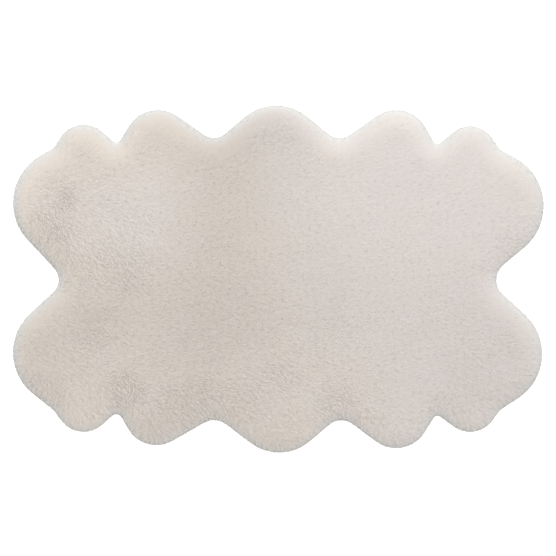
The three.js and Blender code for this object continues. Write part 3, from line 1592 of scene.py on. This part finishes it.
class FurPile:
    """All the locks of hair, made as joined meshes.

    A lock is a closed, three-sided spindle: a root, a ring at its broadest and a tip. It takes
    most of its shading from the lay of the pile around it, as the loose edge of real hair does.
    """

    RIM_DEPTH = 60 * MM
    # No root stands nearer the outline than this, and nothing of a lock nearer the floor.
    ROOT_MARGIN = 6 * MM
    CLEARANCE = 0.4 * MM
    # A lock whose heading points out by more than OUTWARD hangs over the rim. It ends up to
    # SHORTFALL short of the floor, and is no shorter than SHORTEST.
    OUTWARD = 0.1
    SHORTFALL = 4 * MM
    SHORTEST = 4 * MM
    # How far off its tuft's middle a lock counts as, at most, in halves of the tufts' spacing.
    TUFT_EDGE = 1.2
    MESHES = 5
    # Corners are the root, the left, right and ridge of the ring, and the tip. The first two
    # faces are the underside.
    FACES = np.array([(0, 1, 2), (2, 1, 4), (0, 2, 3), (0, 3, 1), (3, 2, 4), (1, 3, 4)])
    CORNERS = 5
    # The point of the spine, from the root, the middle and the tip, that each corner is at.
    SPINE = np.array([0, 1, 1, 1, 2])
    # The same faces unrolled flat, as their corners' places in a cell of the bake's map.
    UNROLLED = (
        np.array(
            [
                [(1, 0), (0, 3), (2, 3)],
                [(2, 3), (0, 3), (1, 6)],
                [(3, 0), (2, 3), (4, 3)],
                [(5, 0), (4, 3), (6, 3)],
                [(4, 3), (2, 3), (3, 6)],
                [(6, 3), (4, 3), (5, 6)],
            ]
        )
        / 6
    )
    CELL_FILL = 0.94
    # Share of a lock's shading that comes from its own roundness.
    ROUNDNESS = 0.42
    # How much the left and the right of a lock are shaded as facing up, next to aside.
    SIDE_TILT = 0.6
    # Share of its own run from root to tip, which sets its painted root shade, that sleek hair
    # shows.
    SLEEK_RUN = 0.2
    # How far a root may lie off its place in its row, as a share of the spacing.
    STRAY = 0.26
    # Painted highlight: how much paler ruffled hair is painted, standing for its loose tips
    # catching the light.
    PAINTED_GLINT = 0.39
    # Painted shade: how much the duskiest of the ruffled locks stand out, standing for the shade in
    # the gaps between tufts.
    PAINTED_GAP_SHADE = 0.8
    # How much fainter the locks' shades are where the painted rim tone is laid on.
    SOFTNESS = 0.5
    # Share of a lock's shade that is its tuft's.
    TUFT_TONE = 0.12
    # Share of a lock's own shade that is its streak's, tone with painted shade.
    STREAK_TONE_AND_SHADE = 0.7

    def __init__(
        self,
        surface: PileSurface,
        comb: Comb,
        shape: LockShape,
        spacing: float,
        rim_spacing: float,
        seed: int,
    ) -> None:
        """Plants the locks' roots.

        Args:
            surface: The surface that the hair follows.
            comb: How the hair lies.
            shape: The size of a lock.
            spacing: Distance from a root to the next.
            rim_spacing: The same for a second planting, of the rim alone.
            seed: Seed of everything uneven in the pile.
        """
        self.surface = surface
        self.shape = shape
        self.rng = np.random.default_rng(seed)
        self.tufts = Tufts(comb, TuftShape(), self.rng)
        self.streak_tone_and_shade = StreakToneAndShade(surface.outline.rim, seed + 1)
        field = self._plant(spacing)
        rim = self._plant(rim_spacing)
        rim = rim[surface.outline.depth(rim) < self.RIM_DEPTH]
        self.roots = np.concatenate([field, rim])
        self.rng.shuffle(self.roots)

    def _plant(self, spacing: float) -> np.ndarray:
        """Sets roots in staggered rows, each a little off its place.

        Args:
            spacing: Distance from a root to the next.

        Returns:
            The roots inside the outline, as rows of x and y.
        """
        rim = self.surface.outline.rim
        low, high = rim.min(0), rim.max(0)
        rows = np.arange(low[1], high[1], spacing * ROW_STEP)
        columns = np.arange(low[0], high[0], spacing)
        x, y = np.meshgrid(columns, rows)
        x = x + np.where(np.arange(len(rows)) % 2, spacing / 2, 0)[:, None]
        roots = np.stack([x.ravel(), y.ravel()], 1)
        roots += self.rng.uniform(-self.STRAY, self.STRAY, roots.shape) * spacing
        return roots[self.surface.outline.depth(roots) > self.ROOT_MARGIN]

    def build(self, material: bpy.types.Material) -> list[bpy.types.Object]:
        """Makes the locks.

        Args:
            material: The fur's material.

        Returns:
            The pieces, each of them spread over the whole rug.
        """
        shares = np.array_split(self.roots, self.MESHES)
        return [self._piece(f"pile_{i}", roots, material) for i, roots in enumerate(shares, 1)]

    def _piece(
        self, name: str, roots: np.ndarray, material: bpy.types.Material
    ) -> bpy.types.Object:
        """Makes some of the locks as a single mesh.

        Args:
            name: The piece's name.
            roots: The locks' roots, as rows of x and y.
            material: The fur's material.

        Returns:
            The piece.
        """
        tuft = self.tufts.of(roots)
        corners, normals = self._corners(roots, tuft)
        count = len(roots)
        faces = self.FACES[None] + (np.arange(count) * self.CORNERS)[:, None, None]
        mesh = bpy.data.meshes.new(name)
        mesh.vertices.add(count * self.CORNERS)
        mesh.vertices.foreach_set("co", corners.astype(np.float32).ravel())
        mesh.loops.add(faces.size)
        mesh.loops.foreach_set("vertex_index", faces.astype(np.int32).ravel())
        mesh.polygons.add(faces.size // 3)
        mesh.polygons.foreach_set("loop_start", np.arange(0, faces.size, 3, dtype=np.int32))
        mesh.polygons.foreach_set("use_smooth", np.ones(faces.size // 3, bool))
        # Lock shades are fainter under the painted rim tone.
        soft = 1 - self.SOFTNESS * self.surface.dye_and_light.painted_rim_share(roots)
        show = (self.tufts.ruffle[tuft] * soft)[:, None]
        # How far along each lock a corner lies, which sets its painted root shade.
        left = 1 - np.array([0, self.shape.broadest, 1])[self.SPINE]
        run = 1 - left * (self.SLEEK_RUN + (1 - self.SLEEK_RUN) * show)
        # Painted light and shade, painted rim tone and dye warmth for each corner.
        self.surface.dye_and_light.tell(mesh, corners[..., :2])
        set_shares(mesh, "hair_run", run)
        set_shares(mesh, "hair_tone", self._tones(roots, tuft, show))
        mesh.update()
        mesh.validate()
        mesh.normals_split_custom_set(normals.reshape(-1, 3))
        self._lay_out(mesh, roots)
        return mesh_object(name, mesh, material)

    def _tones(self, roots: np.ndarray, tuft: np.ndarray, show: np.ndarray) -> np.ndarray:
        """Draws the tone of each lock, which all of its corners share: random tone with painted
        shade and a painted highlight.

        Args:
            roots: The locks' roots, as rows of x and y.
            tuft: The number of each lock's tuft.
            show: How clearly each lock's shade shows, as a column.

        Returns:
            A row for each lock, of numbers about a half, with a column for each corner.
        """
        own = self.rng.uniform(-1, 1, len(roots))
        # A third is the mean of the square, so the painted gap shade leaves the mean shade as it
        # was.
        own += self.PAINTED_GAP_SHADE * show[:, 0] * (1 / 3 - own**2)
        # Streak tone with painted shade beside each strand.
        own += (self.streak_tone_and_shade.at(roots, self.tufts.heading[tuft]) - own) * self.STREAK_TONE_AND_SHADE
        shade = own + (self.tufts.tone[tuft] - own) * self.TUFT_TONE
        # A painted glint lifts ruffled hair.
        tone = 0.5 + 0.5 * (shade[:, None] * np.sqrt(show) + self.PAINTED_GLINT * show)
        return tone * np.ones(self.CORNERS)

    def _lay_out(self, mesh: bpy.types.Mesh, roots: np.ndarray) -> None:
        """Gives each lock a cell of the bake's map, beside the cells of its neighbours.

        Args:
            mesh: The locks' mesh, which gets the map.
            roots: The locks' roots, as rows of x and y.
        """
        count = len(roots)
        columns = math.ceil(math.sqrt(2 * count))
        rows = math.ceil(count / columns)
        column = np.empty(count, int)
        column[np.argsort(roots[:, 0])] = np.arange(count) // rows
        row = np.empty(count, int)
        row[np.lexsort((roots[:, 1], column))] = np.arange(count) % rows
        cells = np.stack([column, row], 1)[:, None, None]
        places = (cells + 0.5 + self.CELL_FILL * (self.UNROLLED - 0.5)) / (columns, rows)
        layer = mesh.uv_layers.new(name=BAKE_MAP)
        layer.uv.foreach_set("vector", places.astype(np.float32).ravel())

    def _corners(self, roots: np.ndarray, tuft: np.ndarray) -> tuple[np.ndarray, np.ndarray]:
        """Works out the corners of each lock and the way that each one is shaded.

        Args:
            roots: The locks' roots, as rows of x and y.
            tuft: The number of each lock's tuft.

        Returns:
            Each lock's corners, and the normals that the corners of its faces are shaded by.
        """
        shape, tufts, count = self.shape, self.tufts, len(roots)
        heading = tufts.heading[tuft] + math.radians(shape.stray) * self.rng.standard_normal(count)
        along = np.stack([np.cos(heading), np.sin(heading)], 1)
        aside = np.stack([-along[:, 1], along[:, 0]], 1)
        length = self._lengths(roots, along, tuft)
        off = ((roots - tufts.centres[tuft]) * aside).sum(1) / (tufts.shape.spacing / 2)
        off = np.clip(off, -self.TUFT_EDGE, self.TUFT_EDGE)
        lift = self._lifts(off, tuft)
        run = np.array([0, shape.broadest, 1])
        bend = shape.bend * self.rng.standard_normal(count) * length
        drawn = bend[:, None] * run**2
        pinch = tufts.between(tufts.shape.pinch)[tuft] * tufts.shape.spacing / 2
        drawn -= (pinch * off)[:, None] * run
        flat = (
            roots[:, None]
            + (length[:, None] * run)[..., None] * along[:, None]
            + drawn[..., None] * aside[:, None]
        )
        spine, normal = self.surface.wrap(flat)
        spine = spine + normal * lift[..., None]
        forward = unit(spine[:, 2] - spine[:, 0])
        side = unit(np.cross(normal[:, 1], forward))
        axes = forward, side, np.cross(forward, side)
        return self._hull(spine, axes, tuft), self._shading(flat, axes, off, tuft)

    def _lengths(self, roots: np.ndarray, along: np.ndarray, tuft: np.ndarray) -> np.ndarray:
        """Draws how long each lock is.

        Args:
            roots: The locks' roots, as rows of x and y.
            along: Which way each lock points, as rows of x and y.
            tuft: The number of each lock's tuft.

        Returns:
            The lengths.
        """
        shape, tufts, count = self.shape, self.tufts, len(roots)
        depth = self.surface.outline.depth(roots)
        field = smoothstep(depth, 0, self.RIM_DEPTH)
        length = shape.rim_length + (tufts.between(shape.length)[tuft] - shape.rim_length) * field
        length *= 1 + shape.length_spread * self.rng.uniform(-1, 1, count)
        length *= 1 - shape.loose_loss * tufts.looseness[tuft]
        out = -(along * self.surface.outline.inward(roots)).sum(1)
        room = depth + self.rng.uniform(-1, 0, count) * self.SHORTFALL
        room = np.where(out > self.OUTWARD, room / np.maximum(out, self.OUTWARD), np.inf)
        return np.minimum(length, np.maximum(room, self.SHORTEST))

    def _lifts(self, off: np.ndarray, tuft: np.ndarray) -> np.ndarray:
        """Draws how far each lock stands over the lay of the hair.

        Args:
            off: How far each lock is off its tuft's middle, in halves of the tufts' spacing.
            tuft: The number of each lock's tuft.

        Returns:
            A row for each lock, with its root, its middle and its tip.
        """
        shape, tufts = self.shape, self.tufts
        crest = tufts.between(tufts.shape.crest)[tuft] * (0.5 - off**2)
        rise = crest + tufts.lift[tuft]
        own = tufts.between(shape.lift)[tuft]
        sinks = (shape.root_sink, shape.middle_sink, shape.tip_sink)
        root, *others = (tufts.between(sink)[tuft] for sink in sinks)
        lifts = [rise + own * self.rng.uniform(-1, 1, len(off)) - sink for sink in others]
        return np.stack([-root, *lifts], 1)

    def _hull(
        self, spine: np.ndarray, axes: tuple[np.ndarray, ...], tuft: np.ndarray
    ) -> np.ndarray:
        """Sets the corners of each lock round its spine.

        Args:
            spine: Each lock's root, middle and tip.
            axes: Each lock's directions forward, to its left and up.
            tuft: The number of each lock's tuft.

        Returns:
            Each lock's corners.
        """
        _, side, up = axes
        half = self.shape.width * self.rng.uniform(*self.shape.width_spread, len(tuft)) / 2
        half = half[:, None]
        thick = half * self.tufts.between(self.shape.thickness)[tuft][:, None]
        middle = spine[:, 1]
        left = middle + side * half - up * thick
        right = middle - side * half - up * thick
        ridge = middle + up * thick
        corners = np.stack([spine[:, 0], left, right, ridge, spine[:, 2]], 1)
        corners[..., 2] = np.maximum(corners[..., 2], self.CLEARANCE)
        return corners

    def _shading(
        self,
        flat: np.ndarray,
        axes: tuple[np.ndarray, ...],
        off: np.ndarray,
        tuft: np.ndarray,
    ) -> np.ndarray:
        """Works out the way that each corner of a lock's faces is shaded.

        Args:
            flat: Each lock's root, middle and tip as flat places.
            axes: Each lock's directions forward, to its left and up.
            off: How far each lock is off its tuft's middle, in halves of the tufts' spacing.
            tuft: The number of each lock's tuft.

        Returns:
            A normal for each corner of each face.
        """
        forward, side, up = axes
        tufts, tilt = self.tufts, self.SIDE_TILT
        turned = tufts.between(tufts.shape.roundness)[tuft] * off
        lay = self.surface.loosened(flat) + side[:, None] * turned[:, None, None]
        lay = unit(lay)[:, self.SPINE]
        own = np.stack([up, up * tilt + side, up * tilt - side, up, up + forward], 1)
        rounded = self.ROUNDNESS * tufts.ruffle[tuft]
        shading = unit(lay + (unit(own) - lay) * rounded[:, None, None])
        shading = shading[:, self.FACES]
        shading[:, :2] = -up[:, None, None]
        return shading


# ---------------------------------------------------------------------------------------------
# The studio
# ---------------------------------------------------------------------------------------------


@dataclass
class Studio:
    """Plain white floor, soft light and a camera straight above the rug.

    Attributes:
        view_width: How much of the floor the picture takes in.
        camera_height: Height of the camera over the floor.
        look_at: The point of the floor under the middle of the picture.
        sky: Strength of the even light from all round.
        key_power: Power of the large soft lamp.
        key_place: Where the lamp hangs.
        key_size: Side of the lamp.
        floor_reach: How far the floor reaches each way from the rug's middle.
        floor_gap: How far the floor lies under the rug, so that they don't meet.
    """

    view_width: float = 1.881
    camera_height: float = 6.0
    look_at: tuple[float, float] = (-0.0012, 0.0036)
    sky: float = 0.575
    key_power: float = 552.0
    key_place: tuple[float, float, float] = (1.1, 6.8, 7.1)
    key_size: float = 6.5
    floor_reach: float = 15.0
    floor_gap: float = 0.5 * MM

    def floor(self) -> bpy.types.Object:
        """Lays the floor just under the rug.

        Returns:
            The floor.
        """
        form = bmesh.new()
        bmesh.ops.create_grid(form, x_segments=1, y_segments=1, size=self.floor_reach)
        bmesh.ops.translate(form, vec=(0, 0, -self.floor_gap), verts=form.verts)
        mesh = bpy.data.meshes.new("floor")
        form.to_mesh(mesh)
        form.free()
        floor = mesh_object("floor", mesh, FloorFinish().make())
        return floor

    def lights(self) -> None:
        """Hangs the soft lamp and sets the light from all round."""
        world = bpy.data.worlds.new("soft_studio")
        world.use_nodes = True
        background = world.node_tree.nodes["Background"]
        background.inputs["Color"].default_value = linear("ffffff")
        background.inputs["Strength"].default_value = self.sky
        bpy.context.scene.world = world
        lamp = bpy.data.lights.new("key", "AREA")
        lamp.shape = "SQUARE"
        lamp.size = self.key_size
        lamp.energy = self.key_power
        key = bpy.data.objects.new("key", lamp)
        key.location = self.key_place
        key.rotation_euler = (-Vector(self.key_place)).to_track_quat("-Z", "Y").to_euler()
        bpy.context.scene.collection.objects.link(key)

    def camera(self) -> None:
        """Hangs the camera over the rug, with the picture's top towards +Y."""
        lens = bpy.data.cameras.new("overhead")
        lens.sensor_width = 36
        lens.lens = lens.sensor_width * self.camera_height / self.view_width
        lens.clip_end = 100
        camera = bpy.data.objects.new("overhead", lens)
        camera.location = (*self.look_at, self.camera_height)
        bpy.context.scene.collection.objects.link(camera)
        bpy.context.scene.camera = camera
        bpy.context.scene.view_settings.view_transform = "Standard"


# ---------------------------------------------------------------------------------------------
# The whole rug
# ---------------------------------------------------------------------------------------------


def main() -> None:
    """Builds the rug and its studio."""
    logging.basicConfig(level=logging.INFO, format="%(name)s: %(message)s")
    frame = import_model()
    solid = frame["nodes"][NODE]
    low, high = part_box(NODE)
    section = RimSection(crown=high.z - 2 * MM, run=80 * MM, widest=10 * MM, tuck=8 * MM)
    outline = RugOutline(solid, level=9.9 * MM)
    LOG.info("outline: %d points, %.3f square metres", len(outline.rim), outline.area)

    studio = Studio()
    studio.camera()
    studio.floor()
    studio.lights()

    surface = PileSurface(outline, section)
    cloth = BackingCloth()
    backing = cloth.build(outline)
    comb = Comb(outline)
    underfur = UnderfurBed().build(solid, surface, comb, cloth)
    pile = FurPile(surface, comb, LockShape(), spacing=3.85 * MM, rim_spacing=5 * MM, seed=3)
    layers = pile.build(FurFinish().make())
    for piece in (backing, underfur, *layers):
        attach(piece, BODY)
        LOG.info("%s: %d faces", piece.name, len(piece.data.polygons))
    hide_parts(NODE)


if __name__ == "__main__":
    main()
